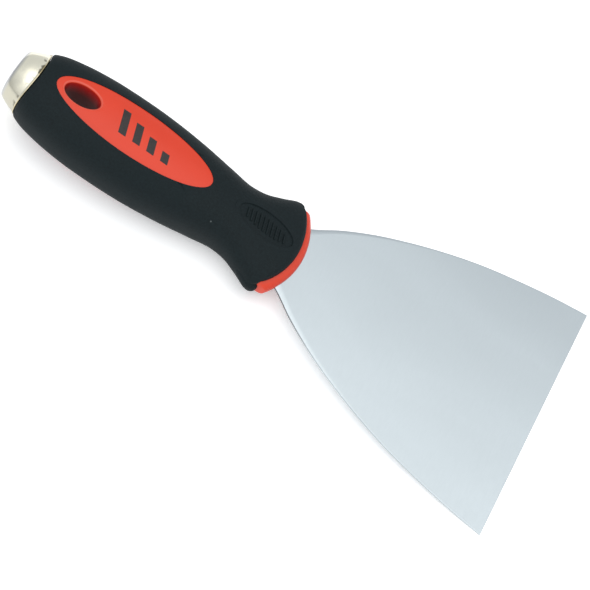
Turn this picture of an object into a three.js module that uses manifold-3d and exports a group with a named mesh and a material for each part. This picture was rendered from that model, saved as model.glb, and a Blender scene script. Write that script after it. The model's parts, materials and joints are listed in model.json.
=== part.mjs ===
// Flexible putty knife: a 4 inch blade with a full tang, a hard core moulded round the tang,
// a soft over-moulded grip and a steel hammer cap on the butt.
// Millimetres. The tool is modelled along +X, from the strike face of the cap to the working edge,
// with the blade in the XY plane. At the end it is laid down as it rests on a bench.
import * as THREE from "three";
import { mergeVertices } from "three/addons/utils/BufferGeometryUtils.js";
import Module from "manifold-3d";

const wasm = await Module();
wasm.setup();

// ---- Driving dimensions ----
const GAP = 0.3; // clearance kept between pieces that touch on the real tool

const EDGE_X = 223.8; // the working edge
const EDGE_WIDTH = 101.6;
const NECK_X = 118.4; // where the blade leaves the collar
const NECK_WIDTH = 28.4;
const FLARE = [[139, 27.1], [166.4, 38.6], [194, 46]]; // convex side of the blade, [x, half width]
const STOCK_THICKNESS = 1.4;
const EDGE_THICKNESS = 0.45;
const GRIND_START_X = 127;

const TANG_WIDTH = 21;
const TANG_SHOULDER_X = 105; // the tang starts to widen into the blade here
const SHOULDER_BEND_X = 113; // and its straight side would end here
const TANG_REAR_X = 15.4;
const TAIL_WIDTH = 14;
const TAIL_END_X = 5.3;
const MOULDING_HOLE_RADIUS = 3.5;
const MOULDING_HOLES_X = [50, 70, 90];

const SECTION_EXPONENT = 2.3; // superellipse: 2 is an ellipse, more is boxier
const SKIN = 2.6; // thickness of the soft grip over the hard core
// Half width and half height of the handle, [x, half width, half height].
const HANDLE_PROFILE = [
  [6, 11.9, 10],
  [8.6, 13, 10.9],
  [12, 14.5, 11.8],
  [20, 16.4, 12.9],
  [30, 17.7, 13.5],
  [42, 18.2, 13.6],
  [56, 17.9, 13.4],
  [70, 16.6, 12.7],
  [84, 14.5, 11.6],
  [92, 13.5, 10.6],
  [98, 14.5, 9.9],
  [104, 17.3, 9.2],
  [109.5, 20.2, 8.6],
  [113, 19.3, 8.2],
  [119, 13, 7.6],
];
const CAP_PROFILE = [
  [1, 8.2, 7],
  [1.4, 9, 7.7],
  [2.2, 9.6, 8.3],
  [3.4, 10.3, 8.9],
  [5, 11.1, 9.6],
  [7, 11.9, 10.3],
  [10.5, 12.9, 11.1],
];
const CAP_RIM_X = 8.2; // the cap's rim at the sides of the handle
const CAP_RIM_CROWN = 1.4; // how much further forward the rim reaches on the top and bottom
const CAP_RIM_HALF_SPAN = 13;

const FRONT_ARC_X = 91; // centre of the arcs that end the grip and the collar, in plan
const GRIP_FRONT_RADIUS = 27.8;
const GRIP_NOSE = { depth: 5, lipHalfHeight: 4.6, topHalfHeight: 8.8 };
const CORE_FRONT_RADIUS = 24.4;
const COLLAR_RADIUS = 30.7;
const COLLAR_WIDTH = 36.6;
const COLLAR_HALF_HEIGHT = 3.4;
const COLLAR_NOSE = { size: 3.1, thickness: 3 };
const COLLAR_ROOT = { x: 103, halfWidth: 10 }; // where the collar runs out inside the grip
const COLLAR_SIDE = { x: 109.5, inset: 0.6 };

const WINDOW = { x: 47.7, rx: 32, ry: 9.6 }; // oval window where the core shows on both faces
const WINDOW_RECESS = 0.35;
const HANG_HOLE = { x: 25.9, rx: 7, ry: 4 };
const HOLE_LINING = 1.8; // hard plastic between the hang hole and the steel tang

const BOSS = { startX: 4, endX: 14.8, halfWidth: 8.2, halfHeight: 4.8 };
const RIVET = { x: 12.5, y: 4.2, shankRadius: 1.3, headRadius: 2.1, headHeight: 0.8 };
const RIVET_DOME = [[0.82, 0.7], [0.4, 1]]; // shares of the head's radius and height

const REACH = 60; // half length of cutting tools that pass right through
const SEGMENTS = { section: 32, arc: 48, large: 28, hole: 14, blade: 12 }; // facets on round shapes

// ---- Solids from geometry ----
function solidOf(geometry) {
  const bare = geometry.clone();
  bare.deleteAttribute("normal");
  bare.deleteAttribute("uv");
  const merged = mergeVertices(bare, 1e-4);
  return new wasm.Manifold(
    new wasm.Mesh({
      numProp: 3,
      vertProperties: merged.attributes.position.array,
      triVerts: new Uint32Array(merged.index.array),
    }),
  );
}

function meshOf(name, solid, material) {
  const { vertProperties, triVerts } = solid.getMesh();
  const geometry = new THREE.BufferGeometry();
  geometry.setAttribute("position", new THREE.BufferAttribute(vertProperties, 3));
  geometry.setIndex(new THREE.BufferAttribute(triVerts, 1));
  geometry.computeVertexNormals();
  const mesh = new THREE.Mesh(geometry, material);
  mesh.name = name;
  return mesh;
}

function box(x0, x1, halfWidth, halfHeight) {
  const geometry = new THREE.BoxGeometry(x1 - x0, 2 * halfWidth, 2 * halfHeight);
  return solidOf(geometry.translate((x0 + x1) / 2, 0, 0));
}

// A flat outline in the XY plane, thickened evenly above and below it.
function plate(shape, halfHeight, curveSegments = SEGMENTS.blade) {
  const options = { depth: 2 * halfHeight, bevelEnabled: false, curveSegments };
  return solidOf(new THREE.ExtrudeGeometry(shape, options).translate(0, 0, -halfHeight));
}

function ellipse({ x, rx, ry }, grow = 0) {
  return new THREE.Shape().absellipse(x, 0, rx + grow, ry + grow, 0, 2 * Math.PI);
}

// ---- Lofted handle sections ----
function stationsOf(profile, count) {
  const knots = profile.map((knot) => new THREE.Vector3(...knot));
  const curve = new THREE.CatmullRomCurve3(knots, false, "centripetal");
  return curve.getPoints(count - 1);
}

function loft(stations, grow = 0) {
  const rows = stations.length - 1;
  const geometry = new THREE.CylinderGeometry(1, 1, 1, SEGMENTS.section, rows);
  const position = geometry.attributes.position;
  const bend = (value) => Math.sign(value) * Math.abs(value) ** (2 / SECTION_EXPONENT);
  for (let i = 0; i < position.count; i++) {
    const station = stations[Math.round((0.5 - position.getY(i)) * rows)];
    const y = bend(position.getX(i)) * (station.y + grow);
    const z = bend(position.getZ(i)) * (station.z + grow);
    position.setXYZ(i, station.x, y, z);
  }
  return solidOf(geometry);
}

const handleStations = stationsOf(HANDLE_PROFILE, 26);
const capStations = stationsOf(CAP_PROFILE, 9);

// Everything in front of the grip's or core's rounded front end is cut away by this keep-solid:
// a disc whose rim curves over, and a block for the rest of the handle behind it.
function frontLimit(radius) {
  const { depth, lipHalfHeight, topHalfHeight } = GRIP_NOSE;
  const steps = 4;
  const rim = [];
  for (let i = 0; i <= steps; i++) {
    const angle = (i / steps) * (Math.PI / 2);
    const r = radius - depth + depth * Math.sin(angle);
    const z = lipHalfHeight + (topHalfHeight - lipHalfHeight) * Math.cos(angle);
    rim.push(new THREE.Vector2(r, z));
  }
  const upper = [new THREE.Vector2(0, REACH), new THREE.Vector2(radius - depth, REACH), ...rim];
  const lower = upper.map((point) => new THREE.Vector2(point.x, -point.y));
  const outline = [...lower, ...upper.reverse()];
  const disc = new THREE.LatheGeometry(outline, SEGMENTS.arc).rotateX(Math.PI / 2);
  const block = box(-REACH, FRONT_ARC_X + depth, REACH, REACH);
  return solidOf(disc.translate(FRONT_ARC_X, 0, 0)).add(block);
}

// All that lies behind the curved joint between the cap and the handle.
function behindJoint(offset) {
  const rim = CAP_RIM_X + offset;
  const shape = new THREE.Shape();
  shape.moveTo(-REACH, -REACH);
  shape.lineTo(rim, -REACH);
  shape.lineTo(rim, -CAP_RIM_HALF_SPAN);
  shape.quadraticCurveTo(rim + 2 * CAP_RIM_CROWN, 0, rim, CAP_RIM_HALF_SPAN);
  shape.lineTo(rim, REACH);
  shape.lineTo(-REACH, REACH);
  return plate(shape, REACH, SEGMENTS.hole);
}

// ---- Blade with its tang ----
function bladeOutline(grow = 0) {
  const half = {
    edge: EDGE_WIDTH / 2,
    neck: NECK_WIDTH / 2 + grow,
    tang: TANG_WIDTH / 2 + grow,
    tail: TAIL_WIDTH / 2 + grow,
  };
  const rear = TANG_REAR_X - grow;
  const shoulder = TANG_SHOULDER_X;
  const flare = [[NECK_X, half.neck], ...FLARE, [EDGE_X, half.edge]];
  const side = (points, sign) => points.map(([x, y]) => new THREE.Vector2(x, sign * y));
  const shape = new THREE.Shape();
  shape.moveTo(TAIL_END_X - grow, -half.tail);
  shape.lineTo(rear, -half.tail);
  shape.lineTo(rear, -half.tang);
  shape.lineTo(shoulder, -half.tang);
  shape.quadraticCurveTo(SHOULDER_BEND_X, -half.tang, NECK_X, -half.neck);
  shape.splineThru(side(flare.slice(1), -1));
  shape.lineTo(EDGE_X, half.edge);
  shape.splineThru(side(flare.slice(0, -1).reverse(), 1));
  shape.quadraticCurveTo(SHOULDER_BEND_X, half.tang, shoulder, half.tang);
  shape.lineTo(rear, half.tang);
  shape.lineTo(rear, half.tail);
  shape.lineTo(TAIL_END_X - grow, half.tail);
  shape.closePath();
  shape.holes.push(ellipse(HANG_HOLE, HOLE_LINING + GAP - grow));
  for (const x of MOULDING_HOLES_X) {
    const radius = MOULDING_HOLE_RADIUS - grow;
    shape.holes.push(new THREE.Path().absarc(x, 0, radius, 0, 2 * Math.PI));
  }
  return shape;
}

// The wedge ground away from one face of the blade, thin at the start and thickest at the edge.
function grindWedge() {
  const shape = new THREE.Shape();
  shape.moveTo(GRIND_START_X, STOCK_THICKNESS / 2);
  shape.lineTo(EDGE_X, EDGE_THICKNESS / 2);
  shape.lineTo(EDGE_X + REACH, EDGE_THICKNESS / 2);
  shape.lineTo(EDGE_X + REACH, REACH);
  shape.lineTo(GRIND_START_X, REACH);
  shape.closePath();
  return plate(shape, 2 * REACH).rotate([90, 0, 0]);
}

function rivetHoles(radius, halfHeight) {
  const holes = [1, -1].map((side) =>
    plate(new THREE.Shape().absarc(RIVET.x, side * RIVET.y, radius, 0, 2 * Math.PI), halfHeight),
  );
  return holes[0].add(holes[1]);
}

function makeBlade() {
  const wedge = grindWedge();
  return plate(bladeOutline(), STOCK_THICKNESS / 2)
    .subtract(wedge)
    .subtract(wedge.rotate([180, 0, 0]))
    .subtract(rivetHoles(RIVET.shankRadius + GAP, REACH));
}

// ---- Hard core: tang casing, collar, window pads and hang-hole lining ----
function collar(grow = 0) {
  const radius = COLLAR_RADIUS - COLLAR_NOSE.size;
  const endY = COLLAR_WIDTH / 2 - COLLAR_NOSE.size;
  const angle = Math.asin(endY / radius);
  const shape = new THREE.Shape();
  shape.moveTo(COLLAR_ROOT.x, -COLLAR_ROOT.halfWidth);
  shape.lineTo(COLLAR_SIDE.x, -endY + COLLAR_SIDE.inset);
  shape.absarc(FRONT_ARC_X, 0, radius, -angle, angle);
  shape.lineTo(COLLAR_SIDE.x, endY - COLLAR_SIDE.inset);
  shape.lineTo(COLLAR_ROOT.x, COLLAR_ROOT.halfWidth);
  shape.closePath();
  const straight = COLLAR_HALF_HEIGHT - COLLAR_NOSE.thickness;
  const geometry = new THREE.ExtrudeGeometry(shape, {
    depth: 2 * (straight + grow),
    bevelThickness: COLLAR_NOSE.thickness,
    bevelSize: COLLAR_NOSE.size + grow,
    bevelSegments: 4,
    curveSegments: 16,
  });
  return solidOf(geometry.translate(0, 0, -straight - grow));
}

function casing(grow = 0) {
  const body = loft(handleStations, grow - SKIN);
  return body.intersect(frontLimit(CORE_FRONT_RADIUS + grow)).add(collar(grow));
}

function makeCore() {
  const window = plate(ellipse(WINDOW), REACH, SEGMENTS.large);
  const pads = window.intersect(loft(handleStations, -WINDOW_RECESS));
  const pocketWidth = BOSS.halfWidth + GAP;
  const pocket = box(-REACH, BOSS.endX + GAP, pocketWidth, BOSS.halfHeight + GAP);
  const headRoom = BOSS.halfHeight + GAP + RIVET.headHeight + GAP;
  return casing()
    .add(pads)
    .subtract(plate(bladeOutline(GAP), STOCK_THICKNESS / 2 + GAP))
    .subtract(plate(ellipse(HANG_HOLE), REACH, SEGMENTS.hole))
    .subtract(behindJoint(GAP))
    .subtract(pocket)
    .subtract(rivetHoles(RIVET.headRadius + GAP, headRoom));
}

// ---- Soft grip ----
function makeGrip() {
  return loft(handleStations)
    .intersect(frontLimit(GRIP_FRONT_RADIUS))
    .subtract(casing(GAP))
    .subtract(plate(ellipse(WINDOW, GAP), REACH, SEGMENTS.large))
    .subtract(behindJoint(GAP));
}

// ---- Hammer cap and its rivets ----
function makeCap() {
  const { startX, endX, halfWidth, halfHeight } = BOSS;
  const slotWidth = TAIL_WIDTH / 2 + GAP;
  const slot = box(TAIL_END_X - GAP, REACH, slotWidth, STOCK_THICKNESS / 2 + GAP);
  return loft(capStations)
    .intersect(behindJoint(0))
    .add(box(startX, endX, halfWidth, halfHeight))
    .subtract(slot)
    .subtract(rivetHoles(RIVET.shankRadius + GAP, REACH));
}

function makeRivet() {
  const seat = BOSS.halfHeight + GAP;
  const half = [
    [RIVET.shankRadius, 0],
    [RIVET.shankRadius, seat],
    [RIVET.headRadius, seat],
    ...RIVET_DOME.map(([r, z]) => [RIVET.headRadius * r, seat + RIVET.headHeight * z]),
    [0, seat + RIVET.headHeight],
  ].map((point) => new THREE.Vector2(...point));
  const lower = half.slice(1).map((point) => new THREE.Vector2(point.x, -point.y));
  const geometry = new THREE.LatheGeometry([...lower.reverse(), ...half.slice(1)], SEGMENTS.hole);
  return solidOf(geometry.rotateX(Math.PI / 2));
}

// ---- Materials ----
const finish = (color, roughness, metalness) =>
  new THREE.MeshStandardMaterial({ color, roughness, metalness });
const groundSteel = finish(0xc8d2da, 0.35, 1);
const redPlastic = finish(0xde482a, 0.4, 0);
const blackRubber = finish(0x23292b, 0.75, 0);
const platedSteel = finish(0xd2d0bd, 0.2, 1);
const rivetSteel = finish(0x9a9c9e, 0.45, 1);

// ---- Assembly ----
const tool = new THREE.Group();
tool.add(meshOf("blade_and_tang", makeBlade(), groundSteel));
tool.add(meshOf("handle_core", makeCore(), redPlastic));
tool.add(meshOf("soft_grip", makeGrip(), blackRubber));
tool.add(meshOf("hammer_cap", makeCap(), platedSteel));
for (const [name, side] of [["cap_rivet_left", 1], ["cap_rivet_right", -1]]) {
  const rivet = meshOf(name, makeRivet(), rivetSteel);
  rivet.position.set(RIVET.x, side * RIVET.y, 0);
  tool.add(rivet);
}

// Lying flat, the tool touches the bench at two places, the belly of the handle and the working edge.
const restTilt = Math.max(
  ...handleStations.map(({ x, z }) => Math.atan2(z - EDGE_THICKNESS / 2, EDGE_X - x)),
);
tool.rotation.y = restTilt;
const laid = new THREE.Box3().setFromObject(tool, true);
const centre = laid.getCenter(new THREE.Vector3());
tool.position.set(-centre.x, -centre.y, -laid.min.z);

const root = new THREE.Group();
root.add(tool);
export default root;
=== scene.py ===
"""Looks of a flexible putty knife: ground steel blade, red hard core, black soft grip and plated cap."""

import json
import math

import bmesh
import bpy
import numpy as np
from mathutils import Matrix, Vector


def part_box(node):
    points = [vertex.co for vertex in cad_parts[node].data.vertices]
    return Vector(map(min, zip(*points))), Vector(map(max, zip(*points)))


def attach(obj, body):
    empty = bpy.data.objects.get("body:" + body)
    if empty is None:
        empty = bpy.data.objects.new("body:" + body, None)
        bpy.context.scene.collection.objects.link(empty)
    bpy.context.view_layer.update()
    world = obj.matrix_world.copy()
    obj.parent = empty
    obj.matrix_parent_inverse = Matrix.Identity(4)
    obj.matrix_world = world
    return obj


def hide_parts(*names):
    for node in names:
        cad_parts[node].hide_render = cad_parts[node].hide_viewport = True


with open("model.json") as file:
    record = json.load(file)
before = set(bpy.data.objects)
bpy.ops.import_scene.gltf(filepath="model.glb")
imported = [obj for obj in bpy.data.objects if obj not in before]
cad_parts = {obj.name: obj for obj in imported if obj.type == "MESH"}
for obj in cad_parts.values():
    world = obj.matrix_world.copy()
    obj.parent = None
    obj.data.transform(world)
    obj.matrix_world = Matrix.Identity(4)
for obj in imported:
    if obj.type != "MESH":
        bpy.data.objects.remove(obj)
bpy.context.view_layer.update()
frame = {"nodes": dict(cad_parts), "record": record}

bl_info = {
    "name": "Flexible Putty Knife",
    "version": (1, 0, 0),
    "blender": (4, 5, 0),
    "location": "3D View > Sidebar > Putty Knife",
    "description": "Builds a soft-grip flexible putty knife around its packed model",
    "category": "Add Mesh",
}

MM = 0.001
BODY = "root"
# Depth inside the hang hole for painted shade, and -1 on its chamfer for a painted highlight.
HOLE_LIGHT_AND_SHADE_ATTRIBUTE = "hole_painted_shade_and_highlight"
CAP_ATTRIBUTE = "place_along_cap"
# How steeply the cap's surface faces sideways, for painted shade.
CAP_LEAN_SHADE_ATTRIBUTE = "cap_lean_painted_shade"
# Marks the blade's upright sides for painted shade.
BLADE_SHADE_ATTRIBUTE = "blade_side_painted_shade"

# ---- Shape of the handle, in millimetres along the tool: x, half width, half height ----
SECTION_EXPONENT = 2.3
STRIKE_FACE_X = 1.0
HANDLE_PROFILE = np.array([
    [6, 11.9, 10], [8.6, 13, 10.9], [12, 14.5, 11.8], [20, 16.4, 12.9], [30, 17.7, 13.5],
    [42, 18.2, 13.6], [56, 17.9, 13.4], [70, 16.6, 12.7], [84, 14.5, 11.6], [92, 13.5, 10.6],
    [98, 14.5, 9.9], [104, 17.3, 9.2], [109.5, 20.1, 8.6], [113, 20.5, 8.2], [119, 19.5, 7.6],
])
REAR_ROUNDING = 0.9
CAP_PROFILE = np.array([
    [1.0, 8.1, 6.9], [1.15, 8.6, 7.35], [1.5, 9.1, 7.8], [2.2, 9.6, 8.3], [3.4, 10.3, 8.9],
    [5, 11.1, 9.6], [7, 11.9, 10.3], [8.2, 12.3, 10.65], [10.5, 12.9, 11.1],
])
RIM_X = 8.2
RIM_CROWN = 1.4
RIM_HALF_SPAN = 13.0
RIM_GAP = 0.25
FRONT_ARC_X = 91.0
GRIP_FRONT_RADIUS = 27.7
CORNER_FRONT_X = 112.9
CORNER_ROUNDING = (15.5, 4.2)  # where it starts across the tool, and its radius
NOSE_DEPTH = 5.0
LIP_HALF_HEIGHT = 4.4
NOSE_TOP = 8.8
BAND_CORNER = (110.7, 18.3, 2.2)  # centre x and y of the band's corner, and its radius
BAND_HALF_HEIGHT = 2.6
SKIN = 2.5
COLLAR_RADIUS = 30.7
COLLAR_HALF_WIDTH = 18.2
COLLAR_HALF_HEIGHT = 3.4
COLLAR_NOSE = (3.1, 3.0)  # reach and half thickness of the rounded front
WINDOW = (47.7, 32.0, 9.6)  # centre x, half length, half width of the oval window
HANG_HOLE = (25.9, 7.0, 4.0)
BADGE = (103.6, 11.4, 5.0)
BADGE_DEPTH = 0.55
INNER_FRONT_RADIUS = 24.6  # inside of the grip's front wall
CASING_FRONT_RADIUS = 24.4
SEARCH_END = 125.0  # a place past the front of the handle
SEARCH_HALVINGS = 36
NOSE_BLEND = 0.5
OPEN_ABOVE = 30  # a half height that limits nothing


# ---------------------------------------------------------------- settings a user would change
def length_setting(label, note, default, least):
    """A length that a user may change; both numbers are in millimetres."""
    return bpy.props.FloatProperty(
        name=label, description=note, default=default * MM, min=least * MM,
        unit="LENGTH", subtype="DISTANCE",
    )


def colour_setting(label, note, default):
    return bpy.props.FloatVectorProperty(
        name=label, description=note, subtype="COLOR", default=default, min=0, max=1,
    )


class KnifeSizes(bpy.types.PropertyGroup):
    """Sizes of the visible pieces"""

    edge_width: length_setting("Edge width", "Length of the straight working edge", 101.6, 20)
    neck_width: length_setting("Neck width", "Width of the blade where it leaves the collar", 28.4, 10)
    stock_thickness: length_setting("Stock thickness", "Thickness of the steel in the handle", 1.4, 0.5)
    edge_thickness: length_setting("Edge thickness", "Thickness of the ground working edge", 0.45, 0.2)
    window_recess: length_setting("Window recess", "Depth of the red oval below the soft grip", 0.3, 0)
    badge_ribs: bpy.props.IntProperty(
        name="Badge ribs", description="Number of plain ribs embossed in the badge",
        default=10, min=1, max=20,
    )


class KnifeColours(bpy.types.PropertyGroup):
    """Colours of the finishes"""

    steel: colour_setting("Blade steel", "Colour of the ground steel", (0.535, 0.59, 0.615))
    red: colour_setting("Hard core", "Colour of the hard plastic", (0.68, 0.045, 0.014))
    black: colour_setting("Soft grip", "Colour of the soft rubber", (0.0055, 0.0105, 0.012))
    plating: colour_setting("Cap plating", "Colour of the plated cap", (0.97, 0.93, 0.76))
    floor: colour_setting("Floor", "Colour of the plain floor", (0.97, 0.97, 0.97))


# ---------------------------------------------------------------- placing the tool on the bench
def tool_to_bench():
    """Matrix from the tool's own axes to the bench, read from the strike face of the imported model."""
    mounts = {mount["name"]: mount for mount in frame["record"]["mounts"]}
    strike = mounts["strike_face"]
    forward = -Vector(strike["axis"]).normalized()
    across = Vector((0, 1, 0))
    place = Matrix((forward, across, forward.cross(across))).transposed().to_4x4()
    place.translation = Vector(strike["pos_m"]) - forward * STRIKE_FACE_X * MM
    return place


PLACE = tool_to_bench()
BLADE_LOW, BLADE_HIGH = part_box("blade_and_tang")
TOOL_LENGTH = (PLACE.inverted() @ Vector((BLADE_HIGH[0], 0, BLADE_LOW[2]))).x / MM


# ---------------------------------------------------------------- shape formulas, in millimetres
def profile_at(x, knots, column):
    """Smooth curve through one column of a profile."""
    xs, ys = knots[:, 0], knots[:, column]
    slopes = np.gradient(ys, xs)
    i = np.clip(np.searchsorted(xs, x) - 1, 0, len(xs) - 2)
    span = xs[i + 1] - xs[i]
    t = np.clip((x - xs[i]) / span, 0, 1)
    start = (1 + 2 * t) * (1 - t) ** 2 * ys[i] + t * (1 - t) ** 2 * span * slopes[i]
    end = t * t * (3 - 2 * t) * ys[i + 1] + t * t * (t - 1) * span * slopes[i + 1]
    return start + end


def bend(value):
    return np.sign(value) * np.abs(value) ** (2 / SECTION_EXPONENT)


def unbend(value):
    return np.sign(value) * np.abs(value) ** (SECTION_EXPONENT / 2)


def smooth_min(a, b, blend):
    h = np.clip(0.5 + 0.5 * (b - a) / blend, 0, 1)
    return b * (1 - h) + a * h - blend * h * (1 - h)


def rear_x(y):
    """The joint with the cap, which reaches further forward in the middle."""
    return RIM_X + RIM_GAP + RIM_CROWN * (1 - (y / RIM_HALF_SPAN) ** 2)


def front_x(y, radius=GRIP_FRONT_RADIUS):
    """The front edge in plan: an arc between two straight, rounded corners."""
    start, rounding = CORNER_ROUNDING
    arc = FRONT_ARC_X + np.sqrt(np.maximum(radius**2 - y**2, 0))
    straight = CORNER_FRONT_X - (GRIP_FRONT_RADIUS - radius)
    past = np.maximum(np.abs(y) - start, 0)
    drop = rounding - np.sqrt(np.maximum(rounding**2 - past**2, 0))
    drop += 2 * np.maximum(past - rounding, 0)
    return np.maximum(arc, straight) - drop


def nose_limit(x, y, radius=GRIP_FRONT_RADIUS):
    """Greatest half height near the grip's rounded front end."""
    facing = np.sqrt(np.clip(1 - (y / radius) ** 2, 0.3, 1))
    into = np.clip(1 - (front_x(y, radius) - x) * facing / NOSE_DEPTH, 0, 1)
    return LIP_HALF_HEIGHT + (NOSE_TOP - LIP_HALF_HEIGHT) * np.sqrt(1 - into**2) + OPEN_ABOVE * (into <= 0)


def height_at(x, y, grow=0.0):
    """Half height of the handle's skin over a point in plan."""
    half_width = profile_at(x, HANDLE_PROFILE, 1) + grow
    half_height = profile_at(x, HANDLE_PROFILE, 2) + grow
    inside = np.clip(1 - (np.abs(y) / half_width) ** SECTION_EXPONENT, 0, 1)
    skin = half_height * inside ** (1 / SECTION_EXPONENT)
    return smooth_min(skin, nose_limit(x, y) + grow, NOSE_BLEND)


def badge_radius(x, y):
    """How far out a point lies: 1 on the badge's oval, less inside it."""
    return np.hypot((x - BADGE[0]) / BADGE[1], y / BADGE[2])


def smooth_step(value, start, end):
    t = np.clip((value - start) / (end - start), 0, 1)
    return t * t * (3 - 2 * t)


def roll_off(distance, radius):
    """How far a surface falls inwards within a rounding radius of its end."""
    d = np.clip(distance, 0, radius)
    return radius - np.sqrt(radius**2 - (radius - d) ** 2)


def skin_point(along, angle, grow=0.0, radius=GRIP_FRONT_RADIUS, outside=True):
    """Points on the handle's skin; along runs 0 to 1 from the cap joint to the front arc."""
    across, up = bend(np.cos(angle)), bend(np.sin(angle))
    low = np.zeros_like(across)
    high = np.full_like(across, SEARCH_END)
    for _ in range(SEARCH_HALVINGS):
        x = (low + high) / 2
        y = (profile_at(x, HANDLE_PROFILE, 1) + grow) * across
        target = rear_x(y) + along * (front_x(y, radius) - rear_x(y))
        low = np.where(x < target, x, low)
        high = np.where(x < target, high, x)
    half_width = profile_at(x, HANDLE_PROFILE, 1) + grow
    half_height = profile_at(x, HANDLE_PROFILE, 2) + grow
    fall = roll_off(x - rear_x(half_width * across), REAR_ROUNDING) if outside else 0
    y = (half_width - fall) * across
    z = (half_height - fall) * up
    ahead = x > FRONT_ARC_X - 15
    capped = np.sign(z) * smooth_min(np.abs(z), nose_limit(x, y, radius), NOSE_BLEND)
    z = np.where(ahead, capped, z)
    if not outside:
        return np.stack([x, y, z], -1)
    sunk = BADGE_DEPTH + 0.2
    z -= np.sign(z) * sunk * (1 - smooth_step(badge_radius(x, y), 1.05, 1.18))
    return np.stack([x, y, z], -1)


def ellipse_points(ellipse, angles, grow=0.0):
    centre, along, across = ellipse
    return centre + (along + grow) * np.cos(angles), (across + grow) * np.sin(angles)


def skin_coordinates(x, y, grow=0.0, radius=GRIP_FRONT_RADIUS):
    """The pair (along, angle) of a point in plan on the upper skin."""
    angle = np.arccos(np.clip(unbend(y / (profile_at(x, HANDLE_PROFILE, 1) + grow)), -1, 1))
    return (x - rear_x(y)) / (front_x(y, radius) - rear_x(y)), angle


# ---------------------------------------------------------------- mesh building
class Skin:
    """Collects rows of points and the faces between them."""

    def __init__(self):
        self.mesh = bmesh.new()

    def strip(self, rows, closed=True):
        rings = [[self.mesh.verts.new(point) for point in row] for row in rows]
        for near, far in zip(rings, rings[1:]):
            count = len(near)
            for i in range(count if closed else count - 1):
                j = (i + 1) % count
                self.mesh.faces.new((near[i], near[j], far[j], far[i]))
        return rings

    def cap(self, row):
        self.mesh.faces.new([self.mesh.verts.new(point) for point in row])

    def finish(self, name, material, node=None, sharp=None):
        """Joins the rows, faces them outwards, lays the piece on the bench and makes it ride."""
        bmesh.ops.remove_doubles(self.mesh, verts=self.mesh.verts, dist=1e-4)
        bmesh.ops.dissolve_degenerate(self.mesh, edges=self.mesh.edges, dist=1e-5)
        bmesh.ops.recalc_face_normals(self.mesh, faces=self.mesh.faces)
        data = bpy.data.meshes.new(name)
        self.mesh.to_mesh(data)
        self.mesh.free()
        data.transform(PLACE @ Matrix.Scale(MM, 4))
        data.shade_smooth()
        if sharp is not None:
            data.set_sharp_from_angle(angle=math.radians(sharp))
        return add_piece(name, data, material, node)


def add_piece(name, data, material, node=None):
    piece = bpy.data.objects.new(name, data)
    bpy.context.scene.collection.objects.link(piece)
    data.materials.append(material)
    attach(piece, BODY)
    if node:
        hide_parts(node)
    return piece


def mirrored(rows):
    return [row * np.array([1, 1, -1]) for row in rows]


# ---------------------------------------------------------------- node helpers
def new_group(name, inputs, outputs):
    """An empty shader node group with named sockets."""
    group = bpy.data.node_groups.new(name, "ShaderNodeTree")
    for label, kind, default in inputs:
        socket = group.interface.new_socket(label, in_out="INPUT", socket_type=kind)
        socket.default_value = default
    for label, kind in outputs:
        group.interface.new_socket(label, in_out="OUTPUT", socket_type=kind)
    return group, group.nodes.new("NodeGroupInput"), group.nodes.new("NodeGroupOutput")


def add_node(tree, kind, links=None, **settings):
    """A node with its settings; links maps input names or indices to sockets or plain values."""
    node = tree.nodes.new(kind)
    for key, value in settings.items():
        setattr(node, key, value)
    for key, value in (links or {}).items():
        if isinstance(value, bpy.types.NodeSocket):
            tree.links.new(value, node.inputs[key])
        else:
            node.inputs[key].default_value = value
    return node


def remap(tree, value, low, high, to_low=0.0, to_high=1.0):
    node = add_node(tree, "ShaderNodeMapRange", {
        "Value": value, "From Min": low, "From Max": high, "To Min": to_low, "To Max": to_high,
    })
    return node.outputs["Result"]


def mix_colour(tree, factor, first, second):
    node = tree.nodes.new("ShaderNodeMix")
    node.data_type = "RGBA"
    for index, value in ((0, factor), (6, first), (7, second)):
        if isinstance(value, bpy.types.NodeSocket):
            tree.links.new(value, node.inputs[index])
        elif index == 0:
            node.inputs[index].default_value = value
        else:
            node.inputs[index].default_value = (*value, 1)[:4]
    return node.outputs[2]


def math_node(tree, operation, first, second):
    return add_node(tree, "ShaderNodeMath", {0: first, 1: second}, operation=operation).outputs[0]


def scaled(colour, share):
    """A colour made darker or lighter."""
    return [channel * share for channel in colour]


def tint(tree, tone, marks, share, colour):
    """Lays a colour over the tone where an effect's mask lies, up to a share."""
    factor = math_node(tree, "MULTIPLY", marks.outputs["Mask"], share)
    return mix_colour(tree, factor, tone, colour)


def stored_value(tree, attribute):
    """A number that the mesh itself carries."""
    return add_node(tree, "ShaderNodeAttribute", attribute_name=attribute).outputs["Fac"]


def object_coordinates(tree, scale=(1, 1, 1)):
    coordinates = add_node(tree, "ShaderNodeTexCoord")
    mapping = add_node(tree, "ShaderNodeMapping", {"Vector": coordinates.outputs["Object"], "Scale": scale})
    return mapping.outputs[0]


# ---------------------------------------------------------------- shared effects
def grain_group():
    """Fine even grain: a height for bump and a soft mask for colour or roughness."""
    group, inlet, outlet = new_group(
        "fine_grain",
        [("Vector", "NodeSocketVector", (0, 0, 0)), ("Scale", "NodeSocketFloat", 900.0),
         ("Detail", "NodeSocketFloat", 4.0)],
        [("Height", "NodeSocketFloat"), ("Mask", "NodeSocketFloat")],
    )
    noise = add_node(group, "ShaderNodeTexNoise", {
        "Vector": inlet.outputs["Vector"], "Scale": inlet.outputs["Scale"],
        "Detail": inlet.outputs["Detail"], "Roughness": 0.6,
    })
    group.links.new(noise.outputs["Fac"], outlet.inputs["Height"])
    group.links.new(remap(group, noise.outputs["Fac"], 0.35, 0.65), outlet.inputs["Mask"])
    return group


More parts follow.
